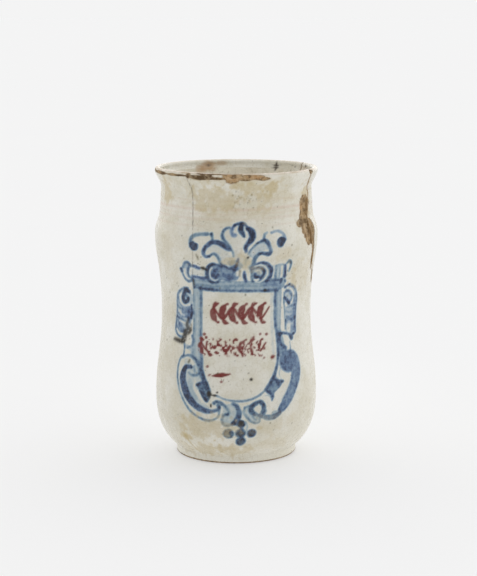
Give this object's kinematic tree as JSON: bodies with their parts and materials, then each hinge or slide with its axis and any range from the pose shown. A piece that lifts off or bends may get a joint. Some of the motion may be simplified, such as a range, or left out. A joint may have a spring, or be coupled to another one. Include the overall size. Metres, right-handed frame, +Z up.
{
  "type": "apothecary jar",
  "caption": "Waisted earthenware drug jar with an everted lip, white glaze, a painted blue cartouche, and a piece of the rim glued back.",
  "frame": {"origin": "centre of the base, on the surface the jar stands on", "axes": "+Z up along the jar's axis, the painted front faces -Y, +X to the right seen from the front"},
  "size_m": [0.1084, 0.1084, 0.1925],
  "materials": {
    "clay": "bare buff to red-brown earthenware, dry and gritty, dirty in the old breaks",
    "painted_glaze": "warm grey-white tin glaze, soft gloss, with cobalt blue brush painting and worn red-brown paint",
    "inside_glaze": "thin grey-white glaze, dull gloss, stained",
    "glue": "old yellow-brown animal glue and filler, dull, dirty"
  },
  "bodies": {
    "root": {"clay_body": "clay", "outer_glaze": "painted_glaze", "inner_glaze": "inside_glaze", "mended_sherd": "clay", "sherd_outer_glaze": "painted_glaze", "sherd_inner_glaze": "inside_glaze", "mending_glue": "glue"}
  },
  "joints": []
}
